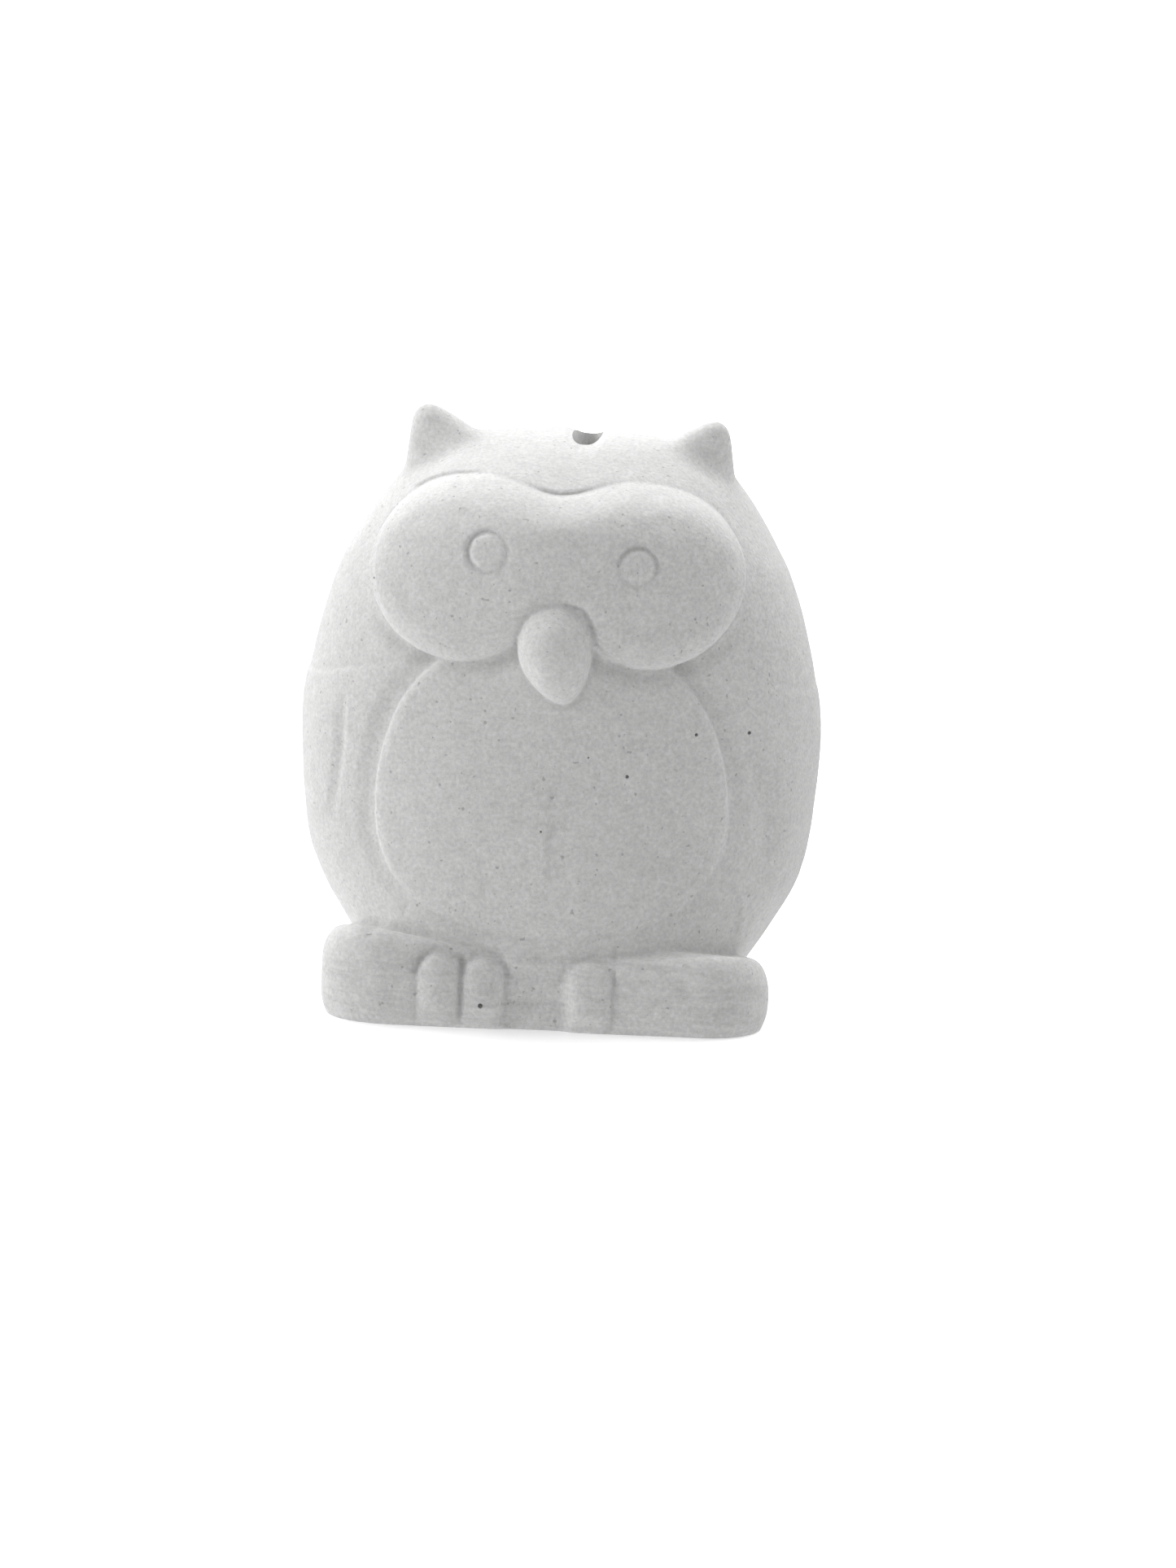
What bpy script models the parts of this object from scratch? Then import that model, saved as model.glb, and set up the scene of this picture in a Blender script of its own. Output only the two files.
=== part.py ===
"""Owl coin bank: a hollow bisque owl, slip-cast in one piece, with a soft stopper in its base.

The owl faces -Y and stands on z = 0, centred on its own footprint. Every size below is in
millimetres, and MM turns it into metres where a mesh is made. While the owl is being shaped,
its upright axis is x = y = 0; the last step moves everything onto the footprint's centre.
"""

import math

import bmesh
import bpy
import numpy as np

MM = 0.001

# Body outline from the crown down: height, half-width, front depth, back depth.
BODY = (
    (107.2, 0.0, 0.0, 0.0),
    (106.6, 15.5, 8.5, 8.5),
    (105.0, 23.5, 16.5, 16.5),
    (101.5, 28.6, 25.6, 25.0),
    (96.5, 33.0, 34.0, 30.5),
    (90.5, 37.2, 38.6, 34.0),
    (86.0, 39.9, 39.8, 35.9),
    (81.6, 42.3, 40.1, 37.3),
    (72.7, 45.4, 40.0, 39.2),
    (60.8, 48.0, 39.6, 40.6),
    (48.7, 49.2, 40.0, 41.0),
    (36.7, 48.4, 40.6, 40.2),
    (24.5, 46.1, 40.9, 38.2),
    (15.4, 41.1, 40.8, 36.0),
    (8.0, 36.3, 40.4, 34.0),
    (3.0, 33.2, 39.8, 32.6),
    (0.0, 31.6, 38.2, 31.0),
    (-3.0, 28.0, 33.0, 27.0),
)
SQUARENESS = 2.2  # exponent of the body's level sections: 2 is an ellipse
WALL = 5.0  # thickness the slip builds up in the mould
FLOOR = 7.6  # the same wall, over the recess in the base
LOW_LEAN = 0.5  # how far its lowest part stands off to one side, as hand-modelled work does

# Ear outline from its root up: height, and how far out its outer and inner sides are.
EAR = (
    (95.0, 31.0, 4.0),
    (101.0, 30.6, 11.0),
    (104.6, 30.2, 16.2),
    (106.6, 30.0, 19.6),
    (108.2, 29.7, 22.4),
    (109.4, 29.0, 24.6),
    (110.1, 28.0, 26.2),
)
EAR_LIFT = {-1: 1.4, 1: 0.0}  # how much taller one ear is than its outline
EAR_THICKNESS = 1.05  # its depth as a share of its width
EAR_Y = (-5.0, -8.5)  # middle of its root and of its tip
EAR_HOLLOW = (25.0, -14.0, 102.6, 7.6, 2.4)  # middle of the dimple in front, its reach and depth

FEET_X = (-41.1, 41.0)
FEET_Y = (-43.4, -17.0)
FEET_CORNER = 13.0  # plan radius of the block's corners
FEET_EDGE = (3.4, 6.0)  # how far in and how far down the rounded top edge reaches
FEET_FALL = 0.15  # how steeply the top falls towards the body
# Height of the top along its width.
FEET_TOP = (
    (-42.0, 17.4),
    (-34.0, 18.4),
    (-22.0, 16.0),
    (-11.0, 14.0),
    (-1.0, 12.4),
    (5.0, 13.4),
    (34.0, 15.4),
    (41.0, 14.4),
)
# Toes: middle, half-width, top and how proud each is.
TOES = (
    (-18.8, 3.9, 13.4, 2.3),
    (-10.9, 3.8, 12.8, 2.3),
    (8.4, 4.2, 12.8, 1.3),
)
TOE_HOLLOW = (-23.8, -6.6, 1.0)  # left and right ends, and depth, of the bed that two toes lie in
# Grooves in the front of the feet: path, depth and reach.
FOOT_GROOVES = (
    (((-15.0, 14.0), (-14.8, 8.0), (-15.0, 0.5)), 0.9, 1.4),
    (((-7.0, 13.6), (-6.7, 8.0), (-7.2, 0.5)), 0.9, 1.5),
    (((12.7, 15.5), (12.65, 8.0), (12.5, 0.0)), 1.0, 1.2),
)
MIDDLE_FRONT = 41.2  # how far forward the plain stretch between the feet stands

MASK_LOBES = ((-17.65, 82.4, 16.45), (16.5, 82.05, 16.2))  # x, z, radius
MASK_BRIDGE = (-0.2, 84.85, 11.0, 10.35)  # x, z, half-width, half-height
MASK_BLEND = (3.0, 9.0)  # how softly the lobes and the bridge join, below and above
MASK_HEIGHT, MASK_TOP_HEIGHT = 4.3, 5.0  # proud of the body, low down and at its top
MASK_CREASE = 0.8  # depth of the crease that outlines it
LOBE_SHADOW = 1.3  # depth of the hollow under the mask's lobes

EYES = ((-12.6, 85.9, 3.35), (14.1, 84.3, 3.15))  # x, z, radius
EYE_GROOVE = 0.9
EYE_GROOVE_LEAST = (0.6, 0.5)  # share of the depth that is left on an eye's shallow side
EYE_GROOVE_LEAN = (150, 70)  # direction, in degrees from +X, of each eye's deep side

BEAK_CENTRE = (-0.1, -40.8, 69.4)
BEAK_R = (6.7, 7.8, 8.3)
BEAK_TIP_Z = 59.2
BEAK_LEAN = 0.26  # how far to the side its point is, as a share of its half-width

BELLY = (-0.2, 40.0, 32.4, 35.0, 23.1)  # x, z of the widest level, half-width, height above, below
BELLY_HEIGHT = 1.0
BELLY_VALLEY = 0.85  # depth of the valley round it

SHOULDER_Z = 61.5  # where the wings' upper edge crosses the sides
WING_TIP_Z = 25.0
WING_REAR = (76.0, 132.0)  # degrees round from the front of its rear edge, at the tip and at the shoulder
# Each fold: its path, depth and reach; its swelling's height, distance and reach; and its side.
WING_FOLDS = (
    (((-38.8, 58.5), (-39.2, 52.0), (-39.8, 45.0), (-41.4, 34.0)), 0.65, 1.5, (0.3, 3.6, 5.5), -1),
    (((34.0, 54.0), (37.6, 46.0), (39.6, 38.0), (38.6, 24.0)), 0.5, 3.2, (0.5, 4.6, 6.0), 1),
)

SLOT_X, SLOT_Y = 2.9, -0.3  # middle of the coin slot
SLOT_WIDTH, SLOT_LENGTH = 5.6, 30.6
SLOT_BLUNT = 2.8  # exponent of its outline: 2 is an ellipse
CROWN_RISE = (1.6, 22.0, 24.0)  # how far the crown rises behind the slot, where, and its reach

HOLE_Y = 1.0
HOLE_R = 16.0
RECESS_R, RECESS_DEPTH = 20.8, 2.6
GAP = 0.3  # clearance all round the stopper

RIM_R, RIM_UNDERSIDE = 20.0, 0.6
PLUG_R, PLUG_TOP_R, PLUG_TOP = 15.7, 15.2, 10.0
CUP_R, CUP_FLOOR = 13.2, 6.0
DISH_R, DISH_DEPTH = 11.5, 3.6
GRIP_WIDTH = 3.2

COARSE = 0.9  # size of the cells the forms are fused with
SMOOTHING = 3.4  # how far the softening of the joined forms reaches
CASTING_TRIANGLES = 7600


def clear_scene():
    for obj in list(bpy.data.objects):
        bpy.data.objects.remove(obj, do_unlink=True)


def make_material(name, colour, roughness):
    material = bpy.data.materials.new(name)
    material.use_nodes = True
    shader = material.node_tree.nodes["Principled BSDF"]
    shader.inputs["Base Color"].default_value = (*colour, 1.0)
    shader.inputs["Roughness"].default_value = roughness
    shader.inputs["Metallic"].default_value = 0.0
    return material


def object_of(name, bm):
    """A new object from a bmesh whose sizes are in millimetres."""
    bmesh.ops.scale(bm, vec=(MM, MM, MM), verts=bm.verts)
    bmesh.ops.recalc_face_normals(bm, faces=bm.faces)
    mesh = bpy.data.meshes.new(name)
    bm.to_mesh(mesh)
    bm.free()
    obj = bpy.data.objects.new(name, mesh)
    bpy.context.scene.collection.objects.link(obj)
    return obj


def smooth_through(knots, steps):
    """Points on the smooth curve through the knots, level at the first, which is a pole."""
    knots = np.array(knots, float)
    before = knots[1] * (1, -1, -1, -1)
    after = 2 * knots[-1] - knots[-2]
    line = np.vstack([before, knots, after])
    points = []
    for a, b, c, d in zip(line, line[1:], line[2:], line[3:]):
        for t in np.arange(steps) / steps:
            slope_b, slope_c = (c - a) / 2, (d - b) / 2
            points.append(
                (1 + 2 * t) * (1 - t) ** 2 * b
                + t * (1 - t) ** 2 * slope_b
                + t * t * (3 - 2 * t) * c
                + t * t * (t - 1) * slope_c
            )
    points.append(knots[-1])
    return points


def level_section(half_width, front, back, count):
    """A closed level outline, a superellipse that is deeper or shallower behind than in front."""
    outline = []
    for turn in np.arange(count) * 2 * math.pi / count:
        across, along = math.cos(turn), math.sin(turn)
        depth = back if along > 0 else front
        outline.append(
            (
                half_width * math.copysign(abs(across) ** (2 / SQUARENESS), across),
                depth * math.copysign(abs(along) ** (2 / SQUARENESS), along),
            )
        )
    return outline


def loft(bm, rings):
    """A closed skin over rings of equal count, with a flat face at each end."""
    made = [[bm.verts.new(point) for point in ring] for ring in rings]
    for low, high in zip(made, made[1:]):
        for i in range(len(low)):
            j = (i + 1) % len(low)
            bm.faces.new((low[i], low[j], high[j], high[i]))
    bm.faces.new(made[0])
    bm.faces.new(made[-1])


def oval_at(centre, across, along, count=32):
    return [
        (centre[0] + across * math.cos(turn), centre[1] + along * math.sin(turn), centre[2])
        for turn in np.arange(count) * 2 * math.pi / count
    ]


def low_lean(z):
    """How far the low part of the body stands to the right."""
    return LOW_LEAN * (1 - ramp(z, 22, 33))


def body_form():
    rings = [
        [(x + low_lean(z), y, z) for x, y in level_section(half_width, front, back, 144)]
        for z, half_width, front, back in smooth_through(BODY, 8)[1:]
    ]
    bm = bmesh.new()
    loft(bm, rings)
    return object_of("body_form", bm)


def inner_form():
    """The hollow: the body's outline, moved in by a wall thickness and closed level with the floor."""
    outline = np.array(smooth_through(BODY, 2))
    slope = np.gradient(outline, axis=0)
    outward = np.abs(slope[:, :1]) / np.hypot(slope[:, :1], slope[:, 1:])
    upward = slope[:, 1] / np.hypot(slope[:, 0], slope[:, 1])
    inner_z = outline[:, 0] - WALL * upward
    inner = outline[:, 1:] - WALL * outward
    rings = []
    for z, (half_width, front, back) in zip(inner_z, inner):
        if min(half_width, front, back) > 1 and z > FLOOR + 1:
            section = level_section(half_width, front, back, 40)
            rings.append([(x + low_lean(z), y, z) for x, y in section])
    rings.append([(x, y, FLOOR) for x, y, _ in rings[-1]])
    bm = bmesh.new()
    loft(bm, rings)
    return object_of("inner_form", bm)


def ear_form(side):
    """A low horn whose outer side is upright and whose inner side runs down into the crown."""
    root, top = EAR[0][0], EAR[-1][0]
    rings = []
    for z, outer, inner in EAR:
        share = (z - root) / (top - root)
        y = EAR_Y[0] + (EAR_Y[1] - EAR_Y[0]) * share
        across = (outer - inner) / 2
        centre = (side * (outer + inner) / 2, y, z + EAR_LIFT[side] * share)
        rings.append(oval_at(centre, across, across * EAR_THICKNESS))
    bm = bmesh.new()
    loft(bm, rings)
    return object_of("ear_form", bm)


def feet_form():
    """The block of both feet: a rounded rectangle in plan, its top edge rounded and its top uneven."""
    middle_x, half_x = sum(FEET_X) / 2, (FEET_X[1] - FEET_X[0]) / 2
    middle_y, half_y = sum(FEET_Y) / 2, (FEET_Y[1] - FEET_Y[0]) / 2
    tops_x, tops_z = np.transpose(FEET_TOP)
    profile = [(-3.0, 3.0), (0.0, 1.0), (2.2, 0.2), (5.0, 0.0)]
    for turn in np.linspace(0, math.pi / 2, 7):
        profile.append((-FEET_EDGE[1] * (1 - math.sin(turn)), FEET_EDGE[0] * (1 - math.cos(turn))))
    rings = []
    for level, (z, inset) in enumerate(profile):
        ring = []
        for turn in np.arange(96) * 2 * math.pi / 96:
            across, along = math.cos(turn), math.sin(turn)
            x = middle_x + math.copysign(half_x - FEET_CORNER, across) * (abs(across) > 1e-9)
            y = middle_y + math.copysign(half_y - FEET_CORNER, along) * (abs(along) > 1e-9)
            x, y = x + (FEET_CORNER - inset) * across, y + (FEET_CORNER - inset) * along
            top = np.interp(x, tops_x, tops_z) - FEET_FALL * (y - FEET_Y[0])
            ring.append((x, y, z if level < 4 else top + z))
        rings.append(ring)
    bm = bmesh.new()
    loft(bm, rings)
    return object_of("feet_form", bm)


def beak_form():
    """An egg, round above and drawn to a blunt point below."""
    bm = bmesh.new()
    bmesh.ops.create_uvsphere(bm, u_segments=32, v_segments=24, radius=1.0)
    drop = (BEAK_CENTRE[2] - BEAK_TIP_Z) / BEAK_R[2]
    for vert in bm.verts:
        x, y, z = vert.co
        y = math.copysign(abs(y) ** 0.9, y)
        if z < 0:
            narrow = 1 - 0.2 * z * z
            x, y, z = x * narrow + BEAK_LEAN * z * z, y * narrow + 0.10 * z * z, z * drop
        else:
            x, y = x * (1 + 0.12 * z * z), y + 0.16 * z * z
        vert.co = [c + r * v for c, r, v in zip(BEAK_CENTRE, BEAK_R, (x, y, z))]
    return object_of("beak_form", bm)


def applied(obj):
    """Replaces the object's mesh by its evaluated one and drops its modifiers."""
    bpy.context.view_layer.update()
    graph = bpy.context.evaluated_depsgraph_get()
    mesh = bpy.data.meshes.new_from_object(obj.evaluated_get(graph))
    obj.modifiers.clear()
    obj.data = mesh
    return obj


def fused(name, forms, cell):
    """One closed skin round all the forms."""
    bm = bmesh.new()
    for form in forms:
        bm.from_mesh(form.data)
        bpy.data.objects.remove(form, do_unlink=True)
    mesh = bpy.data.meshes.new(name)
    bm.to_mesh(mesh)
    bm.free()
    obj = bpy.data.objects.new(name, mesh)
    bpy.context.scene.collection.objects.link(obj)
    remesh = obj.modifiers.new("fuse", "REMESH")
    remesh.mode = "VOXEL"
    remesh.voxel_size = cell * MM
    return applied(obj)


def coordinates(mesh):
    flat = np.empty(len(mesh.vertices) * 3, np.float32)
    mesh.vertices.foreach_get("co", flat)
    return flat.reshape(-1, 3).astype(float) / MM


def set_coordinates(mesh, points):
    mesh.vertices.foreach_set("co", (points * MM).astype(np.float32).ravel())
    mesh.update()


def normals(mesh):
    flat = np.empty(len(mesh.vertices) * 3, np.float32)
    mesh.vertex_normals.foreach_get("vector", flat)
    return flat.reshape(-1, 3).astype(float)


def softened(mesh, points, weight, rounds):
    """Points drawn towards the middle of their neighbours, by weight from 0 to 1."""
    ends = np.empty(len(mesh.edges) * 2, np.int32)
    mesh.edges.foreach_get("vertices", ends)
    a, b = ends.reshape(-1, 2).T
    count = np.bincount(a, minlength=len(points)) + np.bincount(b, minlength=len(points))
    for _ in range(rounds):
        total = np.zeros_like(points)
        for axis in range(3):
            total[:, axis] = np.bincount(a, points[b, axis], len(points))
            total[:, axis] += np.bincount(b, points[a, axis], len(points))
        points = points + weight[:, None] * (total / count[:, None] - points)
    return points


def ramp(value, low, high):
    """0 below low, 1 above high, and smooth between."""
    t = np.clip((value - low) / (high - low), 0, 1)
    return t * t * (3 - 2 * t)


def bump(distance, reach):
    """1 at distance 0, falling smoothly to 0 at reach."""
    return 1 - ramp(np.abs(distance), 0, reach)


def soft_min(a, b, blend):
    share = np.clip(0.5 + 0.5 * (b - a) / blend, 0, 1)
    return b + (a - b) * share - blend * share * (1 - share)


def mask_distance(x, z):
    """Distance to the outline of the face mask, negative inside: two round lobes and the bridge between."""
    lobes = [np.hypot(x - cx, z - cz) - radius for cx, cz, radius in MASK_LOBES]
    cx, cz, half_x, half_z = MASK_BRIDGE
    away_x, away_z = np.abs(x - cx) - half_x, np.abs(z - cz) - half_z
    bridge = np.hypot(np.maximum(away_x, 0), np.maximum(away_z, 0))
    bridge = bridge + np.minimum(np.maximum(away_x, away_z), 0)
    blend = MASK_BLEND[0] + (MASK_BLEND[1] - MASK_BLEND[0]) * ramp(z, 72, 86)
    return soft_min(soft_min(lobes[0], bridge, blend), lobes[1], blend)


def belly_distance(x, z):
    """Roughly the distance to the outline of the belly, negative inside: an egg, fuller below."""
    cx, cz, half_x, above, below = BELLY
    across, up = np.abs(x - cx) / half_x, (z - cz) / np.where(z > cz, above, below)
    power = np.where(z > cz, 2.0, 2.5)
    return ((across**power + np.abs(up) ** power) ** (1 / power) - 1) * half_x


def pillow(distance, rim, sloping=0.0):
    """Height from 0 to 1 of a raised plate with an edge this wide, a quarter round or more sloping."""
    inside = np.clip(-distance / rim, 0, 1)
    return (np.sqrt(1 - (1 - inside) ** 2)) * (1 - sloping) + (1 - (1 - inside) ** 1.6) * sloping


def groove(x, z, path, reach):
    """1 along the middle of a path, 0 from reach away, and shallower towards both of its ends."""
    nearest, share = along_path(x, z, path)
    return bump(nearest, reach) * np.clip(4 * share * (1 - share), 0, 1) ** 0.6


def along_path(x, z, path):
    """The distance to a path of straight stretches, and how far along it the nearest place is, 0 to 1."""
    lengths = [math.dist(start, end) for start, end in zip(path, path[1:])]
    nearest = np.full(len(x), np.inf)
    share = np.zeros(len(x))
    done = 0.0
    for (ax, az), (bx, bz), length in zip(path, path[1:], lengths):
        dx, dz = bx - ax, bz - az
        t = np.clip(((x - ax) * dx + (z - az) * dz) / length**2, 0, 1)
        away = np.hypot(x - ax - t * dx, z - az - t * dz)
        share = np.where(away < nearest, (done + t * length) / sum(lengths), share)
        nearest = np.minimum(nearest, away)
        done += length
    return nearest, share


def ear_hollows(points):
    """A shallow dimple in the front of each ear."""
    cx, cy, cz, reach, depth = EAR_HOLLOW
    x, y, z = points.T
    moved = points.copy()
    away = np.sqrt((np.abs(x) - cx) ** 2 + (y - cy) ** 2 + (z - cz) ** 2)
    moved[:, 1] += depth * bump(away, reach)
    return moved


def face_relief(x, z):
    """The mask: a plate with a round edge, broader above, and the crease that outlines it."""
    outline = mask_distance(x, z)
    high = ramp(z, 82, 97)
    proud = MASK_HEIGHT + (MASK_TOP_HEIGHT - MASK_HEIGHT) * high
    plate = pillow(outline, 5.6 + 0.2 * high, 0.9 * high) * proud
    shade = 0.35 * bump(outline - 2.4, 3.2) * (0.35 + 0.65 * bump(x - 0.4, 8.5) * high)
    return plate - shade


def mask_crease(x, z):
    """Depth of the crease that outlines the mask: crisp at places, faint elsewhere."""
    dip = bump(x - 0.4, 9.5) * ramp(z, 82, 90)
    upper_left = ramp(-x, 13, 18) * (1 - ramp(-x, 26, 29)) * ramp(z, 88, 93)
    left_side = ramp(-x, 27, 31) * ramp(z, 70, 76) * (1 - ramp(z, 88, 94))
    right_side = ramp(x, 24, 28)
    crisp = 0.12 + 0.88 * dip + 0.75 * upper_left + 0.4 * left_side + 0.2 * right_side
    return MASK_CREASE * bump(mask_distance(x, z) - 0.2, 1.4) * crisp


def belly_relief(x, z):
    """The belly: a low plate with a valley round it, both of which fade out below."""
    outline = belly_distance(x, z)
    left = x < BELLY[0]
    crisp = np.where(left, 0.3 + 0.7 * ramp(z, 20, 40), 0.12 + 0.88 * ramp(z, 30, 48))
    plate = pillow(outline, 2.3, 0.5) * BELLY_HEIGHT * (0.5 + 0.5 * crisp) * ramp(z, 13, 24)
    valley = BELLY_VALLEY * bump(outline - 1.3, 2.8) * crisp
    crease = 0.25 * bump(outline - 0.1, 0.8) * crisp
    return plate - valley * (outline > -0.5) - crease


def face_and_belly(points, outward):
    """The raised plates of the front: the mask over the eyes and the belly under it."""
    x, y, z = points.T
    front = ramp(-y, 4, 12)
    outside_mask = mask_distance(x, z) > 0
    relief = face_relief(x, z) + belly_relief(x, z) * outside_mask
    relief -= LOBE_SHADOW * bump(mask_distance(x, z) - 1.2, 2.8) * outside_mask * bump(z - 66, 9)
    level = outward * (1, 1, 0.25)
    return points + level * (relief * front)[:, None]


def wings(points, outward):
    """The wings: their low upper ledge, the fold in front of each, its swelling and its rear edge."""
    x, y, z = points.T
    round_side = np.degrees(np.arctan2(np.abs(x), -y))
    edge_z = SHOULDER_Z + 4.0 * (1 - ramp(round_side, 35, 75)) + 2.0 * ramp(round_side, 90, 135)
    ledge = np.where(x < 0, 0.45, 0.2) * ramp(edge_z - z, 0, 1.4) * (1 - ramp(edge_z - z, 5, 16))
    ledge = ledge * ramp(round_side, 33, 40) * (1 - ramp(round_side, 110, 140))
    up_wing = np.clip((z - WING_TIP_Z) / (SHOULDER_Z - WING_TIP_Z), 0, 1)
    rear = WING_REAR[0] + (WING_REAR[1] - WING_REAR[0]) * up_wing**0.6
    at_rear = bump(rear - round_side - 6, 14) * ramp(rear - round_side, 0, 4)
    rear_edge = 0.5 * at_rear * ramp(z, WING_TIP_Z - 4, WING_TIP_Z + 12) * ramp(edge_z - z, 0, 4)
    raised = ledge + rear_edge
    for path, depth, reach, swelling, side in WING_FOLDS:
        raised = raised - depth * groove(x, z, path, reach) * (y < 0)
        beside = [(px + side * swelling[1], pz) for px, pz in path]
        raised = raised + swelling[0] * groove(x, z, beside, swelling[2]) * (y < 0)
    return points + outward * raised[:, None]


def toes(points):
    """Rounded toes on the front of the feet, the grooves beside them, and the plain middle between."""
    x, y, z = points.T
    hollow = ramp(x, TOE_HOLLOW[0], TOE_HOLLOW[0] + 1.6) * (1 - ramp(x, TOE_HOLLOW[1] - 1.6, TOE_HOLLOW[1]))
    forward = -TOE_HOLLOW[2] * hollow * (1 - ramp(z, 12.0, 15.5)) * ramp(z, 0.5, 3.5)
    bulge = np.zeros_like(x)
    for centre, half_width, top, height in TOES:
        across = (x - centre) / half_width
        up = np.where(z > top - half_width, (z - top + half_width) / half_width, 0)
        round_toe = np.sqrt(np.clip(1 - across**2 - up**2, 0, 1))
        bulge = np.maximum(bulge, height * round_toe * ramp(z, 0.3, 4.5))
        over_top = np.hypot(across, up) * half_width - half_width
        forward -= 0.3 * height * bump(over_top - 0.7, 1.4) * (z > top - half_width)
    forward += bulge
    for path, depth, reach in FOOT_GROOVES:
        forward -= depth * groove(x, z, path, reach)
    front = ramp(-y, 36.5, 39.5) * (1 - ramp(z, 17.5, 20.5))
    middle = ramp(x, -9.0, -5.6) * (1 - ramp(x, 2.6, 6.4)) * (z < 16)
    flush = np.clip(-y - MIDDLE_FRONT, 0, None)
    moved = points.copy()
    moved[:, 1] -= forward * front - flush * middle
    return moved


def fine_creases(points):
    """A fine groove round each eye and the mask's outline."""
    x, y, z = points.T
    forward = np.zeros_like(x)
    for (cx, cz, radius), least, lean in zip(EYES, EYE_GROOVE_LEAST, EYE_GROOVE_LEAN):
        away = np.hypot(x - cx, z - cz)
        toward = np.cos(np.arctan2(z - cz, x - cx) - math.radians(lean))
        depth = least + (1 - least) * ramp(toward, -0.6, 0.8)
        forward -= EYE_GROOVE * depth * bump(away - radius - 0.2, 1.3)
        forward += 0.12 * (1 - ramp(away, radius - 1.4, radius))
    forward -= mask_crease(x, z)
    moved = points.copy()
    moved[:, 1] -= forward * (y < -20)
    return moved


def crown_rise(points):
    """Raises the crown a little towards the back end of the slot."""
    x, y, z = points.T
    moved = points.copy()
    behind = np.hypot((x - SLOT_X) / 1.5, y - CROWN_RISE[1])
    moved[:, 2] += CROWN_RISE[0] * bump(behind, CROWN_RISE[2]) * (z > 90)
    return moved


def round_rod(name, radius, low, high, count, centre_y=0.0):
    """An upright cylinder that serves as a cutter."""
    bm = bmesh.new()
    loft(bm, [oval_at((0, centre_y, z), radius, radius, count) for z in (low, high)])
    return object_of(name, bm)


def slot_cutter():
    """A tall block with the coin slot's outline: a long oval, blunt at its ends."""
    outline = []
    for turn in np.linspace(0, 2 * math.pi, 32, endpoint=False):
        across, along = math.cos(turn), math.sin(turn)
        x = math.copysign(abs(across) ** (2 / SLOT_BLUNT), across)
        y = math.copysign(abs(along) ** (2 / SLOT_BLUNT), along)
        outline.append((SLOT_X + SLOT_WIDTH / 2 * x, SLOT_Y + SLOT_LENGTH / 2 * y))
    bm = bmesh.new()
    loft(bm, [[(x, y, z) for x, y in outline] for z in (80.0, 120.0)])
    return object_of("slot_cutter", bm)


def cut(obj, cutters):
    for cutter in cutters:
        cutter.hide_render = True
        cutter.display_type = "WIRE"
        modifier = obj.modifiers.new(cutter.name, "BOOLEAN")
        modifier.operation = "DIFFERENCE"
        modifier.solver = "EXACT"
        modifier.object = cutter
    applied(obj)
    for cutter in cutters:
        bpy.data.objects.remove(cutter, do_unlink=True)


def level_cutter():
    """A slab whose top is the plane the owl stands on."""
    bm = bmesh.new()
    bmesh.ops.create_cube(bm, size=1.0)
    bmesh.ops.scale(bm, vec=(140, 140, 20), verts=bm.verts)
    bmesh.ops.translate(bm, vec=(0, 0, -10), verts=bm.verts)
    return object_of("level_cutter", bm)


def ceramic_shell(bisque):
    shell = fused("rough", [body_form(), ear_form(-1), ear_form(1), feet_form()], COARSE)
    points = coordinates(shell.data)
    x, y, z = points.T
    by_ears = ramp(z, 92, 97) * ramp(np.abs(x), 12, 16) * ramp(-np.abs(y - EAR_Y[1]), -24, -16)
    rounds = int(SMOOTHING**2 * 0.6 / COARSE**2)
    points = softened(shell.data, points, 0.25 + 0.6 * by_ears, rounds)
    points = ear_hollows(points)
    set_coordinates(shell.data, points)
    outward = normals(shell.data)
    points = wings(face_and_belly(points, outward), outward)
    set_coordinates(shell.data, toes(points))
    shell = fused("ceramic_shell", [shell, beak_form()], COARSE)
    set_coordinates(shell.data, crown_rise(fine_creases(coordinates(shell.data))))
    thin = shell.modifiers.new("thin", "DECIMATE")
    thin.ratio = CASTING_TRIANGLES / sum(len(face.vertices) - 2 for face in shell.data.polygons)
    applied(shell)
    cut(
        shell,
        [
            level_cutter(),
            inner_form(),
            slot_cutter(),
            round_rod("hole", HOLE_R, -5, FLOOR + 5, 64, HOLE_Y),
            round_rod("recess", RECESS_R, -5, RECESS_DEPTH, 64, HOLE_Y),
        ],
    )
    shell.data.materials.clear()
    shell.data.materials.append(bisque)
    shell.data.shade_smooth()
    shell.data.set_sharp_from_angle(angle=math.radians(40))
    return shell


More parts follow.
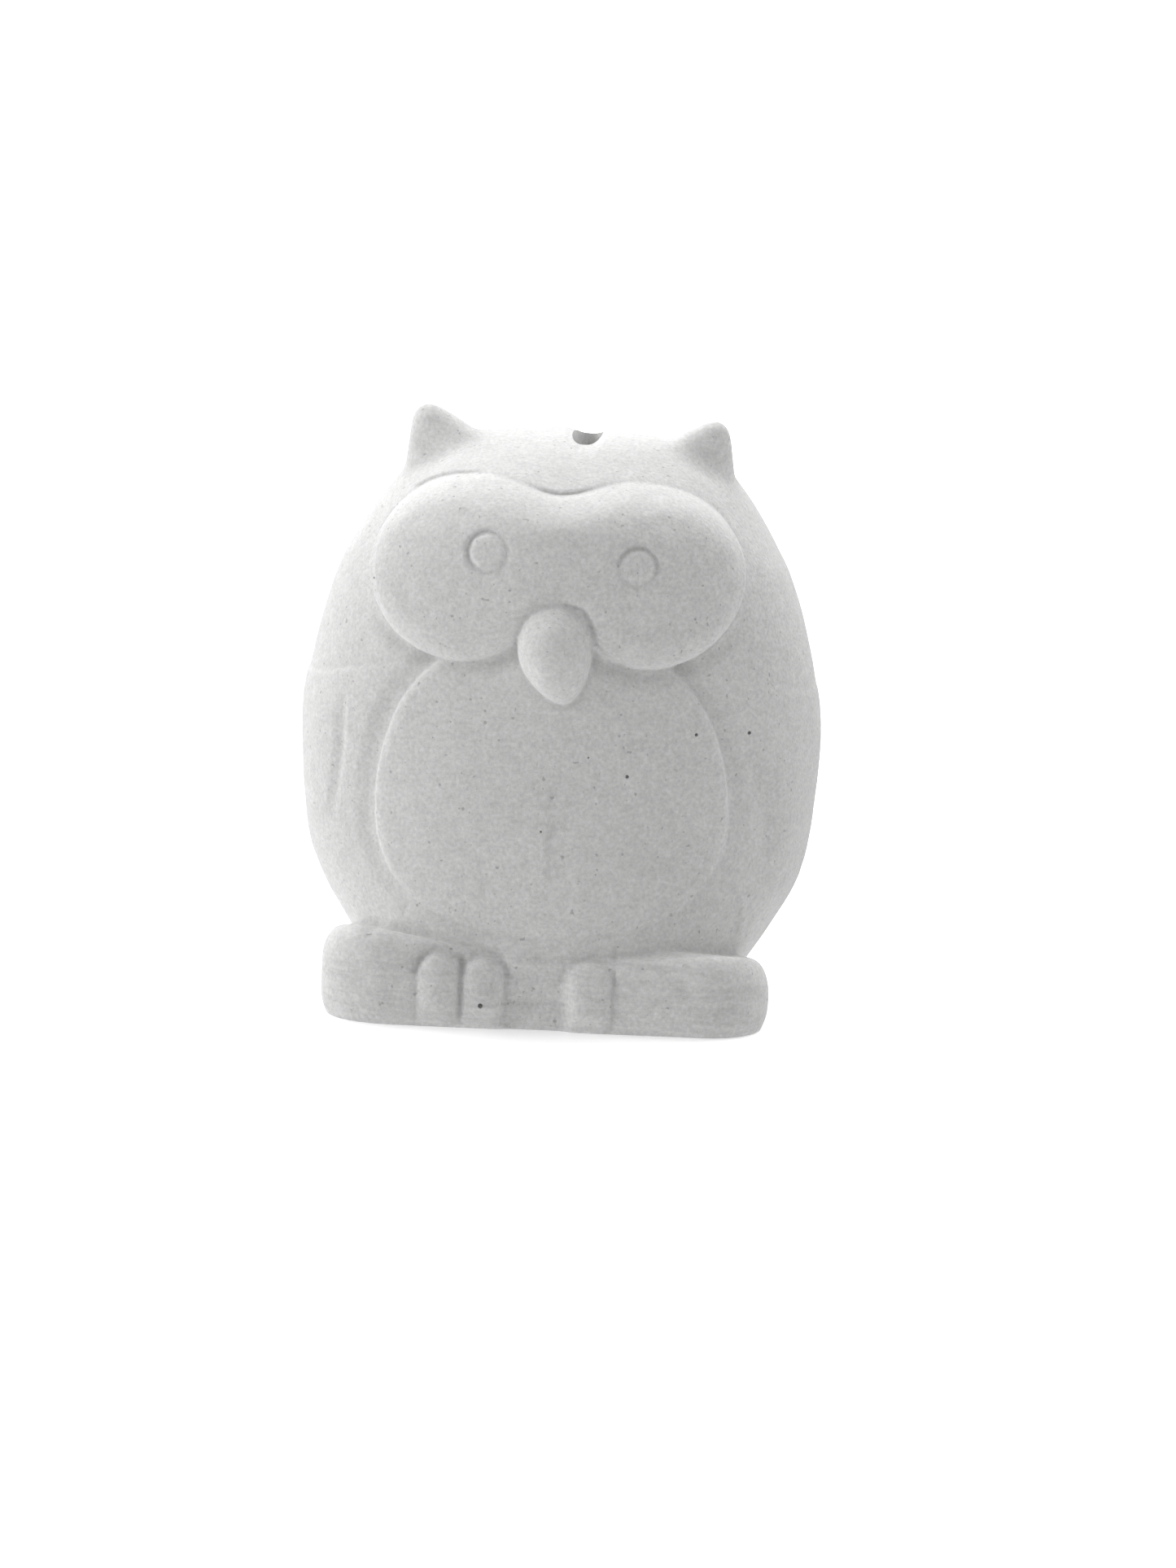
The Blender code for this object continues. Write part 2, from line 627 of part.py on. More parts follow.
def base_stopper(rubber):
    """A turned bung: a rim under the base, a tapered plug in the hole, a cup above and a dish below.

    A bar left standing across the dish is the finger grip."""
    profile = (
        (RIM_R - 0.5, RIM_UNDERSIDE),
        (RIM_R, RIM_UNDERSIDE + 0.5),
        (RIM_R, RECESS_DEPTH - GAP - 0.3),
        (RIM_R - 0.3, RECESS_DEPTH - GAP),
        (PLUG_R, RECESS_DEPTH - GAP),
        (PLUG_TOP_R, PLUG_TOP - 0.6),
        (PLUG_TOP_R - 0.6, PLUG_TOP),
        (CUP_R, PLUG_TOP),
        (CUP_R - 0.3, CUP_FLOOR + 0.8),
        (CUP_R - 1.1, CUP_FLOOR),
    )
    bm = bmesh.new()
    loft(bm, [oval_at((0, 0, z), radius, radius, 64) for radius, z in profile])
    stopper = object_of("base_stopper", bm)
    dishes = []
    for side in (-1, 1):
        outline = []
        edge = GRIP_WIDTH / 2
        start = math.asin(edge / DISH_R)
        for turn in np.linspace(start, math.pi - start, 20):
            outline.append((DISH_R * math.cos(turn), side * DISH_R * math.sin(turn)))
        bm = bmesh.new()
        low, high = RIM_UNDERSIDE - 1, RIM_UNDERSIDE + DISH_DEPTH
        loft(bm, [[(x, y, z) for x, y in outline] for z in (low, high)])
        dishes.append(object_of("dish", bm))
    cut(stopper, dishes)
    stopper.location.y = HOLE_Y * MM
    stopper.data.materials.clear()
    stopper.data.materials.append(rubber)
    stopper.data.shade_smooth()
    stopper.data.set_sharp_from_angle(angle=math.radians(40))
    return stopper


def centre_on_footprint(shell, others):
    """Moves everything level, so that the shell's box is centred over the origin."""
    points = coordinates(shell.data)
    shift = (points.min(axis=0) + points.max(axis=0)) / 2
    shift[2] = 0
    set_coordinates(shell.data, points - shift)
    for obj in others:
        obj.location.x -= shift[0] * MM
        obj.location.y -= shift[1] * MM


def main():
    clear_scene()
    bisque = make_material("bisque", (0.86, 0.85, 0.83), 0.9)
    rubber = make_material("stopper_rubber", (0.72, 0.70, 0.66), 0.6)
    shell = ceramic_shell(bisque)
    stopper = base_stopper(rubber)
    centre_on_footprint(shell, [stopper])


main()
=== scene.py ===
"""Looks of the bisque owl coin bank: its finished surface, its stopper, the studio and the camera.

The casting is shaped here by the same forms as the CAD shell, on a much finer mesh, with the
creases, toes, seam, slot edge and pinholes that hand-finished bisque has. Its sizes are in
millimetres in the owl's shaping frame, whose upright axis is x = y = 0; MM turns them into metres,
and the finished casting is then put where the CAD shell stands. The camera's and the studio's sizes
are in metres, apart from LOOK_AT and the sensor.
"""

import math

import bmesh
import bpy
import numpy as np
from mathutils import Matrix, Vector


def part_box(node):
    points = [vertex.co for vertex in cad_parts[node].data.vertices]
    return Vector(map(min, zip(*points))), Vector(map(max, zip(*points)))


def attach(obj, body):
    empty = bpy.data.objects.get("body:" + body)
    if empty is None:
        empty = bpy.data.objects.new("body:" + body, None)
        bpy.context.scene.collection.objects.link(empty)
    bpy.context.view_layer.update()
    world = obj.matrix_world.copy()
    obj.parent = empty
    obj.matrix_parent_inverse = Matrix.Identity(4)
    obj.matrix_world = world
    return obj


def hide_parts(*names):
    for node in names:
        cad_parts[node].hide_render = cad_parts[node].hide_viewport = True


MM = 0.001

# Body outline from the crown down: height, half-width, front depth, back depth.
BODY = (
    (107.2, 0.0, 0.0, 0.0),
    (106.6, 15.5, 8.5, 8.5),
    (105.0, 23.5, 16.5, 16.5),
    (101.5, 28.6, 25.6, 25.0),
    (96.5, 33.0, 34.0, 30.5),
    (90.5, 37.2, 38.6, 34.0),
    (86.0, 39.9, 39.8, 35.9),
    (81.6, 42.3, 40.1, 37.3),
    (72.7, 45.4, 40.0, 39.2),
    (60.8, 48.0, 39.6, 40.6),
    (48.7, 49.2, 40.0, 41.0),
    (36.7, 48.4, 40.6, 40.2),
    (24.5, 46.1, 40.9, 38.2),
    (15.4, 41.1, 40.8, 36.0),
    (8.0, 36.3, 40.4, 34.0),
    (3.0, 33.2, 39.8, 32.6),
    (0.0, 31.6, 38.2, 31.0),
    (-3.0, 28.0, 33.0, 27.0),
)
SQUARENESS = 2.2  # exponent of the body's level sections: 2 is an ellipse
LOW_LEAN = 0.5  # how far the body's lowest part stands off to the right
WALL = 5.0
FLOOR = 7.6  # height of the hollow's level bottom

# Ear outline from its root up: height, and how far out its outer and inner sides are.
EAR = (
    (95.0, 31.0, 4.0),
    (101.0, 30.6, 11.0),
    (104.6, 30.2, 16.2),
    (106.6, 30.0, 19.6),
    (108.2, 29.7, 22.4),
    (109.4, 29.0, 24.6),
    (110.1, 28.0, 26.2),
)
EAR_LIFT = {-1: 1.4, 1: 0.0}  # how much taller one ear is than its outline
EAR_THICKNESS = 1.05  # its depth as a share of its width
EAR_Y = (-5.0, -8.5)  # where its root and its tip are, front to back
EAR_HOLLOW = (25.0, -14.0, 102.6, 7.6, 2.4)  # place, reach and depth of the dimple in its front

FEET_BASE = ((-3.0, 3.0), (0.0, 1.0), (2.2, 0.2), (5.0, 0.0))  # height and inset of the lower edge
FEET_X = (-41.1, 41.0)
FEET_Y = (-43.4, -17.0)
FEET_CORNER = 13.0
FEET_EDGE = (3.4, 6.0)  # how far in and how far down the rounded top edge reaches
FEET_FALL = 0.15  # how steeply the top falls towards the body
# Height of the top along its width.
FEET_TOP = (
    (-42.0, 17.4),
    (-34.0, 18.4),
    (-22.0, 16.0),
    (-11.0, 14.0),
    (-1.0, 12.4),
    (5.0, 13.4),
    (34.0, 15.4),
    (41.0, 14.4),
)
# Toes: middle, half-width, top and how proud each is.
TOES = (
    (-18.8, 3.9, 13.4, 2.3),
    (-10.9, 3.8, 12.8, 2.3),
    (8.4, 4.2, 12.8, 1.3),
)
TOE_HOLLOW = (-23.8, -6.6, 1.0)  # left and right ends, and depth, of the bed that two toes lie in
# Grooves in the front of the feet: path, depth and reach.
FOOT_GROOVES = (
    (((-15.0, 14.0), (-14.8, 8.0), (-15.0, 0.5)), 0.9, 1.1),
    (((-7.0, 13.6), (-6.7, 8.0), (-7.2, 0.5)), 0.9, 1.3),
    (((12.7, 15.5), (12.65, 8.0), (12.5, 0.0)), 1.0, 0.8),
)
MIDDLE_FRONT = 41.2  # how far forward the plain stretch between the feet stands

# The mask: each lobe's middle and radius, and the bridge's middle, half-width and half-height.
MASK_LOBES = ((-17.65, 82.4, 16.45), (16.5, 82.05, 16.2))
MASK_BRIDGE = (-0.2, 84.85, 11.0, 10.35)
MASK_BLEND = (3.0, 9.0)  # how softly the lobes and the bridge join, below and above
MASK_HEIGHT, MASK_TOP_HEIGHT = 4.3, 5.0
MASK_CREASE = 1.2
LOBE_SHADOW = 1.3  # depth of the hollow under the mask's lobes

# Each eye: its middle and its radius.
EYES = ((-12.6, 85.9, 3.35), (14.1, 84.3, 3.15))
EYE_GROOVE = 0.7
EYE_GROOVE_LEAST = (0.3, 0.25)  # share of the depth that is left on an eye's shallow side
EYE_GROOVE_LEAN = (150, 70)  # direction, in degrees from +X, of each eye's deep side

BEAK_CENTRE = (-0.1, -40.8, 69.4)
BEAK_R = (6.7, 7.8, 8.3)
BEAK_TIP_Z = 59.2
BEAK_LEAN = 0.26  # how far to the right its point is, as a share of its half-width

# The crease round the beak's right side, between it and the mask: path, depth and reach.
BEAK_CREASE = (((0.5, 77.6), (4.8, 76.4), (6.5, 73.2), (7.2, 70.6), (9.0, 68.7), (12.6, 66.5)), 0.9, 0.9)

# The belly: its middle, half-width, and how far it reaches above and below its middle.
BELLY = (-0.2, 40.0, 32.4, 35.0, 23.1)
BELLY_HEIGHT = 1.0
BELLY_VALLEY = 0.85

SHOULDER_Z = 61.5
WING_TIP_Z = 25.0
# How far round from the front, in degrees, its rear edge is at the tip and at the shoulder.
WING_REAR = (76.0, 132.0)
# Each fold: its path, depth and reach; its swelling's height, distance and reach; and its side.
WING_FOLDS = (
    (((-38.8, 58.5), (-39.2, 52.0), (-39.8, 45.0), (-41.4, 34.0)), 0.65, 1.5, (0.3, 3.6, 5.5), -1),
    (((34.0, 54.0), (37.6, 46.0), (39.6, 38.0), (38.6, 24.0)), 0.5, 3.2, (0.5, 4.6, 6.0), 1),
)

SLOT_X, SLOT_Y = 2.9, -0.3
SLOT_WIDTH, SLOT_LENGTH = 5.6, 30.6
SLOT_CUT = (80.0, 120.0)  # the heights between which it is cut
HOLE_Y, HOLE_R = 1.0, 16.0
RECESS_R, RECESS_DEPTH = 20.8, 2.6

FINE = 0.4  # size of the cells the forms are fused with
SMOOTHING = 3.4  # how far the softening of the joined forms reaches
SLOT_BLUNT = 2.8  # exponent of the slot's outline: 2 is an ellipse
CROWN_RISE = (1.6, 22.0, 24.0)  # how far the crown rises behind the slot, where, and its reach
SLOT_LIP = (0.55, 1.5)  # how far down and how far out its edge is rounded
PINHOLE_STRETCH = 3  # length over width of the ball, half outside, that cuts a pinhole
SHARP_ANGLE = math.radians(50)
CASTING_TRIANGLES = 175000

UNEVEN = 0.045  # height of the longest wave of the surface's unevenness
UNEVEN_WAVES = 16
UNEVEN_SEED = 5
SEAM, SEAM_Y = 0.16, 1.0
# Scratches and smears on the front, each a path, its depth and its reach; a smear stands proud.
MARKS = (
    (((-26.6, 18.4), (-25.0, 21.8)), 0.35, 0.55),
    (((35.3, 14.0), (35.8, 19.0), (35.1, 25.0)), -0.4, 0.9),
    (((36.9, 15.0), (37.2, 19.0)), -0.25, 0.8),
)
# Shallow dents, each its place, depth and reach.
DENTS = (
    (25.0, 9.6, 0.3, 3.0),
    (-33.0, 9.0, 0.25, 4.0),
    (-31.5, 16.6, 0.3, 1.6),
)
# Pinholes: place, radius, and which side of the owl, -1 the front.
PINHOLES = (
    (-10.9, 4.5, 0.5, -1),
    (25.6, 54.2, 0.33, -1),
    (13.6, 46.4, 0.36, -1),
    (35.4, 54.1, 0.36, -1),
    (6.7, 49.6, 0.2, -1),
    (-1.5, 36.1, 0.22, -1),
    (-33.6, 79.7, 0.25, -1),
    (12.0, 70.0, 0.3, 1),
    (-24.0, 38.0, 0.36, 1),
    (-6.0, 22.0, 0.28, 1),
)
CREASE_DEEP = 0.2  # how far below its surroundings a point counts as fully in a crease

BISQUE = (0.80, 0.80, 0.795)
RUBBER = (0.66, 0.64, 0.60)
GRAIN_SCALE = 1500.0  # grains to the metre

# Camera: how far, how high and how far round it is from the middle of the owl, and its tilt.
CAMERA_DISTANCE = 0.650
CAMERA_AZIMUTH = math.radians(2.3)
CAMERA_ELEVATION = math.radians(6.0)
CAMERA_ROLL = math.radians(2.2)
LOOK_AT = (0.0, 0.0, 56.0)  # in the shaping frame
LOOK_OFFSET = (0.0054, -0.0161)  # where it aims: this far right of LOOK_AT and, being minus, below it
FRAME_HEIGHT_AT_OWL = 0.2987  # what the picture's height spans at the owl
SENSOR = 36.0

TABLE_GLOW, SKY_GLOW = 0.55, 0.49  # light from below and from above the horizon
HORIZON = (-0.05, 0.02)  # the span over which one turns into the other
# Each soft box: the direction it is in, the cosine of its half-angle, and its radiance.
SOFT_BOXES = (
    ((0.02, 0.5, 0.87), 0.86, 4.9),
    ((-0.96, 0.08, 0.2), 0.86, 2.7),
    ((0.88, 0.5, 0.2), 0.9, 0.9),
    ((0.0, 0.0, -1.0), 0.8, 0.9),
)
BOX_SOFTNESS = 0.04  # how far either side of its edge a soft box fades, as a cosine
BACKDROP_R, FLOOR_R = 6.0, 7.2
BACKDROP_GLOW, FLOOR_GLOW = 1.3, 0.25


def object_of(name, bm):
    """A new object from a bmesh whose sizes are in millimetres."""
    bmesh.ops.scale(bm, vec=(MM, MM, MM), verts=bm.verts)
    bmesh.ops.recalc_face_normals(bm, faces=bm.faces)
    mesh = bpy.data.meshes.new(name)
    bm.to_mesh(mesh)
    bm.free()
    obj = bpy.data.objects.new(name, mesh)
    bpy.context.scene.collection.objects.link(obj)
    return obj


def smooth_through(knots, steps):
    """Points on the smooth curve through the knots, level at the first, which is a pole."""
    knots = np.array(knots, float)
    before = knots[1] * (1, -1, -1, -1)
    after = 2 * knots[-1] - knots[-2]
    line = np.vstack([before, knots, after])
    points = []
    for a, b, c, d in zip(line, line[1:], line[2:], line[3:]):
        for t in np.arange(steps) / steps:
            slope_b, slope_c = (c - a) / 2, (d - b) / 2
            points.append(
                (1 + 2 * t) * (1 - t) ** 2 * b
                + t * (1 - t) ** 2 * slope_b
                + t * t * (3 - 2 * t) * c
                + t * t * (t - 1) * slope_c
            )
    points.append(knots[-1])
    return points


def level_section(half_width, front, back, count):
    """A closed level outline, a superellipse that is deeper or shallower behind than in front."""
    outline = []
    for turn in np.arange(count) * 2 * math.pi / count:
        across, along = math.cos(turn), math.sin(turn)
        depth = back if along > 0 else front
        outline.append(
            (
                half_width * math.copysign(abs(across) ** (2 / SQUARENESS), across),
                depth * math.copysign(abs(along) ** (2 / SQUARENESS), along),
            )
        )
    return outline


def loft(bm, rings):
    """A closed skin over rings of equal count, with a flat face at each end."""
    made = [[bm.verts.new(point) for point in ring] for ring in rings]
    for low, high in zip(made, made[1:]):
        for i in range(len(low)):
            j = (i + 1) % len(low)
            bm.faces.new((low[i], low[j], high[j], high[i]))
    bm.faces.new(made[0])
    bm.faces.new(made[-1])


def oval_at(centre, across, along, count=48):
    """Points on a level oval round a centre."""
    return [
        (centre[0] + across * math.cos(turn), centre[1] + along * math.sin(turn), centre[2])
        for turn in np.arange(count) * 2 * math.pi / count
    ]


def low_lean(z):
    """How far the low part of the body stands to the right."""
    return LOW_LEAN * (1 - ramp(z, 22, 33))


def body_form():
    """The plain body, without ears, feet or relief."""
    rings = [
        [(x + low_lean(z), y, z) for x, y in level_section(half_width, front, back, 480)]
        for z, half_width, front, back in smooth_through(BODY, 16)[1:]
    ]
    bm = bmesh.new()
    loft(bm, rings)
    return object_of("body_form", bm)


def inner_form():
    """The hollow: the body's outline, moved in by a wall thickness and closed level with the floor."""
    outline = np.array(smooth_through(BODY, 4))
    slope = np.gradient(outline, axis=0)
    outward = np.abs(slope[:, :1]) / np.hypot(slope[:, :1], slope[:, 1:])
    upward = slope[:, 1] / np.hypot(slope[:, 0], slope[:, 1])
    inner_z = outline[:, 0] - WALL * upward
    inner = outline[:, 1:] - WALL * outward
    rings = []
    for z, (half_width, front, back) in zip(inner_z, inner):
        if min(half_width, front, back) > 1 and z > FLOOR + 1:
            section = level_section(half_width, front, back, 96)
            rings.append([(x + low_lean(z), y, z) for x, y in section])
    rings.append([(x, y, FLOOR) for x, y, _ in rings[-1]])
    bm = bmesh.new()
    loft(bm, rings)
    return object_of("inner_form", bm)


def ear_form(side):
    """A low horn whose outer side is upright and whose inner side runs down into the crown."""
    root, top = EAR[0][0], EAR[-1][0]
    rings = []
    for z, outer, inner in EAR:
        share = (z - root) / (top - root)
        y = EAR_Y[0] + (EAR_Y[1] - EAR_Y[0]) * share
        across = (outer - inner) / 2
        centre = (side * (outer + inner) / 2, y, z + EAR_LIFT[side] * share)
        rings.append(oval_at(centre, across, across * EAR_THICKNESS))
    bm = bmesh.new()
    loft(bm, rings)
    return object_of("ear_form", bm)


def feet_form():
    """The block of both feet: a rounded rectangle in plan, its top edge rounded and its top uneven."""
    middle_x, half_x = sum(FEET_X) / 2, (FEET_X[1] - FEET_X[0]) / 2
    middle_y, half_y = sum(FEET_Y) / 2, (FEET_Y[1] - FEET_Y[0]) / 2
    tops_x, tops_z = np.transpose(FEET_TOP)
    profile = list(FEET_BASE)
    for turn in np.linspace(0, math.pi / 2, 12):
        profile.append((-FEET_EDGE[1] * (1 - math.sin(turn)), FEET_EDGE[0] * (1 - math.cos(turn))))
    rings = []
    for level, (z, inset) in enumerate(profile):
        ring = []
        for turn in np.arange(240) * 2 * math.pi / 240:
            across, along = math.cos(turn), math.sin(turn)
            x = middle_x + math.copysign(half_x - FEET_CORNER, across) * (abs(across) > 1e-9)
            y = middle_y + math.copysign(half_y - FEET_CORNER, along) * (abs(along) > 1e-9)
            x, y = x + (FEET_CORNER - inset) * across, y + (FEET_CORNER - inset) * along
            top = np.interp(x, tops_x, tops_z) - FEET_FALL * (y - FEET_Y[0])
            ring.append((x, y, z if level < len(FEET_BASE) else top + z))
        rings.append(ring)
    bm = bmesh.new()
    loft(bm, rings)
    return object_of("feet_form", bm)


def beak_form():
    """An egg, round above and drawn to a blunt point below."""
    bm = bmesh.new()
    bmesh.ops.create_uvsphere(bm, u_segments=64, v_segments=48, radius=1.0)
    drop = (BEAK_CENTRE[2] - BEAK_TIP_Z) / BEAK_R[2]
    for vert in bm.verts:
        x, y, z = vert.co
        y = math.copysign(abs(y) ** 0.9, y)
        if z < 0:
            narrow = 1 - 0.2 * z * z
            x, y, z = x * narrow + BEAK_LEAN * z * z, y * narrow + 0.10 * z * z, z * drop
        else:
            x, y = x * (1 + 0.12 * z * z), y + 0.16 * z * z
        vert.co = [c + r * v for c, r, v in zip(BEAK_CENTRE, BEAK_R, (x, y, z))]
    return object_of("beak_form", bm)


def applied(obj):
    """Replaces the object's mesh by its evaluated one and drops its modifiers."""
    bpy.context.view_layer.update()
    graph = bpy.context.evaluated_depsgraph_get()
    mesh = bpy.data.meshes.new_from_object(obj.evaluated_get(graph))
    obj.modifiers.clear()
    obj.data = mesh
    return obj


def fused(name, forms, cell):
    """One closed skin round all the forms."""
    bm = bmesh.new()
    for form in forms:
        bm.from_mesh(form.data)
        bpy.data.objects.remove(form, do_unlink=True)
    mesh = bpy.data.meshes.new(name)
    bm.to_mesh(mesh)
    bm.free()
    obj = bpy.data.objects.new(name, mesh)
    bpy.context.scene.collection.objects.link(obj)
    remesh = obj.modifiers.new("fuse", "REMESH")
    remesh.mode = "VOXEL"
    remesh.voxel_size = cell * MM
    return applied(obj)


def coordinates(mesh):
    """The mesh's points, in millimetres."""
    flat = np.empty(len(mesh.vertices) * 3, np.float32)
    mesh.vertices.foreach_get("co", flat)
    return flat.reshape(-1, 3).astype(float) / MM


def set_coordinates(mesh, points):
    """Moves the mesh's points to places in millimetres."""
    mesh.vertices.foreach_set("co", (points * MM).astype(np.float32).ravel())
    mesh.update()


def normals(mesh):
    """The outward direction at each of the mesh's points."""
    flat = np.empty(len(mesh.vertices) * 3, np.float32)
    mesh.vertex_normals.foreach_get("vector", flat)
    return flat.reshape(-1, 3).astype(float)


def softened(mesh, points, weight, rounds):
    """Points drawn towards the middle of their neighbours, by weight from 0 to 1."""
    ends = np.empty(len(mesh.edges) * 2, np.int32)
    mesh.edges.foreach_get("vertices", ends)
    a, b = ends.reshape(-1, 2).T
    count = np.bincount(a, minlength=len(points)) + np.bincount(b, minlength=len(points))
    for _ in range(rounds):
        total = np.zeros_like(points)
        for axis in range(3):
            total[:, axis] = np.bincount(a, points[b, axis], len(points))
            total[:, axis] += np.bincount(b, points[a, axis], len(points))
        points = points + weight[:, None] * (total / count[:, None] - points)
    return points


def ramp(value, low, high):
    """0 below low, 1 above high, and smooth between."""
    t = np.clip((value - low) / (high - low), 0, 1)
    return t * t * (3 - 2 * t)


def bump(distance, reach):
    """1 at distance 0, falling smoothly to 0 at reach."""
    return 1 - ramp(np.abs(distance), 0, reach)


def soft_min(a, b, blend):
    """The lesser of two distances, with the corner between them rounded."""
    share = np.clip(0.5 + 0.5 * (b - a) / blend, 0, 1)
    return b + (a - b) * share - blend * share * (1 - share)


def mask_distance(x, z):
    """Distance to the outline of the face mask, negative inside: two round lobes and the bridge between."""
    lobes = [np.hypot(x - cx, z - cz) - radius for cx, cz, radius in MASK_LOBES]
    cx, cz, half_x, half_z = MASK_BRIDGE
    away_x, away_z = np.abs(x - cx) - half_x, np.abs(z - cz) - half_z
    bridge = np.hypot(np.maximum(away_x, 0), np.maximum(away_z, 0))
    bridge = bridge + np.minimum(np.maximum(away_x, away_z), 0)
    blend = MASK_BLEND[0] + (MASK_BLEND[1] - MASK_BLEND[0]) * ramp(z, 72, 86)
    return soft_min(soft_min(lobes[0], bridge, blend), lobes[1], blend)


def belly_distance(x, z):
    """Roughly the distance to the outline of the belly, negative inside: an egg, fuller below."""
    cx, cz, half_x, above, below = BELLY
    across, up = np.abs(x - cx) / half_x, (z - cz) / np.where(z > cz, above, below)
    power = np.where(z > cz, 2.0, 2.5)
    return ((across**power + np.abs(up) ** power) ** (1 / power) - 1) * half_x


def pillow(distance, rim, sloping=0.0):
    """Height from 0 to 1 of a raised plate with an edge this wide, a quarter round or more sloping."""
    inside = np.clip(-distance / rim, 0, 1)
    return (np.sqrt(1 - (1 - inside) ** 2)) * (1 - sloping) + (1 - (1 - inside) ** 1.6) * sloping


def groove(x, z, path, reach):
    """1 along the middle of a path, 0 from reach away, and shallower towards both of its ends."""
    nearest, share = along_path(x, z, path)
    return bump(nearest, reach) * np.clip(4 * share * (1 - share), 0, 1) ** 0.6


def along_path(x, z, path):
    """The distance to a path of straight stretches, and how far along it the nearest place is, 0 to 1."""
    lengths = [math.dist(start, end) for start, end in zip(path, path[1:])]
    nearest = np.full(len(x), np.inf)
    share = np.zeros(len(x))
    done = 0.0
    for (ax, az), (bx, bz), length in zip(path, path[1:], lengths):
        dx, dz = bx - ax, bz - az
        t = np.clip(((x - ax) * dx + (z - az) * dz) / length**2, 0, 1)
        away = np.hypot(x - ax - t * dx, z - az - t * dz)
        share = np.where(away < nearest, (done + t * length) / sum(lengths), share)
        nearest = np.minimum(nearest, away)
        done += length
    return nearest, share


def ear_hollows(points):
    """A shallow dimple in the front of each ear."""
    cx, cy, cz, reach, depth = EAR_HOLLOW
    x, y, z = points.T
    moved = points.copy()
    away = np.sqrt((np.abs(x) - cx) ** 2 + (y - cy) ** 2 + (z - cz) ** 2)
    moved[:, 1] += depth * bump(away, reach)
    return moved


def face_relief(x, z):
    """The mask: a plate with a round edge, broader above, and the crease that outlines it."""
    outline = mask_distance(x, z)
    high = ramp(z, 82, 97)
    proud = MASK_HEIGHT + (MASK_TOP_HEIGHT - MASK_HEIGHT) * high
    plate = pillow(outline, 5.6 + 0.2 * high, 0.9 * high) * proud
    shade = 0.35 * bump(outline - 2.4, 3.2) * (0.35 + 0.65 * bump(x - 0.4, 8.5) * high)
    return plate - shade


def mask_crease(x, z):
    """Depth of the crease that outlines the mask: crisp at places, faint elsewhere."""
    dip = bump(x - 0.4, 9.5) * ramp(z, 82, 90)
    upper_left = ramp(-x, 13, 18) * (1 - ramp(-x, 26, 29)) * ramp(z, 88, 93)
    left_side = ramp(-x, 27, 31) * ramp(z, 70, 76) * (1 - ramp(z, 88, 94))
    right_side = ramp(x, 24, 28)
    crisp = 0.12 + 0.88 * dip + 0.75 * upper_left + 0.4 * left_side + 0.2 * right_side
    return MASK_CREASE * bump(mask_distance(x, z) - 0.1, 0.75) * crisp


def belly_relief(x, z):
    """The belly: a low plate with a valley round it, both of which fade out below."""
    outline = belly_distance(x, z)
    left = x < BELLY[0]
    crisp = np.where(left, 0.3 + 0.7 * ramp(z, 20, 40), 0.12 + 0.88 * ramp(z, 30, 48))
    plate = pillow(outline, 2.3, 0.5) * BELLY_HEIGHT * (0.5 + 0.5 * crisp) * ramp(z, 13, 24)
    valley = BELLY_VALLEY * bump(outline - 1.3, 2.8) * crisp
    crease = 0.25 * bump(outline - 0.1, 0.8) * crisp
    return plate - valley * (outline > -0.5) - crease


def face_and_belly(points, outward):
    """The raised plates of the front: the mask over the eyes and the belly under it."""
    x, y, z = points.T
    front = ramp(-y, 4, 12)
    outside_mask = mask_distance(x, z) > 0
    relief = face_relief(x, z) + belly_relief(x, z) * outside_mask
    relief -= LOBE_SHADOW * bump(mask_distance(x, z) - 1.2, 2.8) * outside_mask * bump(z - 66, 9)
    level = outward * (1, 1, 0.25)
    return points + level * (relief * front)[:, None]


def wings(points, outward):
    """The wings: their low upper ledge, the fold in front of each, its swelling and its rear edge."""
    x, y, z = points.T
    round_side = np.degrees(np.arctan2(np.abs(x), -y))
    edge_z = SHOULDER_Z + 4.0 * (1 - ramp(round_side, 35, 75)) + 2.0 * ramp(round_side, 90, 135)
    ledge = np.where(x < 0, 0.45, 0.2) * ramp(edge_z - z, 0, 1.4) * (1 - ramp(edge_z - z, 5, 16))
    ledge = ledge * ramp(round_side, 33, 40) * (1 - ramp(round_side, 110, 140))
    up_wing = np.clip((z - WING_TIP_Z) / (SHOULDER_Z - WING_TIP_Z), 0, 1)
    rear = WING_REAR[0] + (WING_REAR[1] - WING_REAR[0]) * up_wing**0.6
    at_rear = bump(rear - round_side - 6, 14) * ramp(rear - round_side, 0, 4)
    rear_edge = 0.5 * at_rear * ramp(z, WING_TIP_Z - 4, WING_TIP_Z + 12) * ramp(edge_z - z, 0, 4)
    raised = ledge + rear_edge
    for path, depth, reach, swelling, side in WING_FOLDS:
        raised = raised - depth * groove(x, z, path, reach) * (y < 0)
        beside = [(px + side * swelling[1], pz) for px, pz in path]
        raised = raised + swelling[0] * groove(x, z, beside, swelling[2]) * (y < 0)
    return points + outward * raised[:, None]


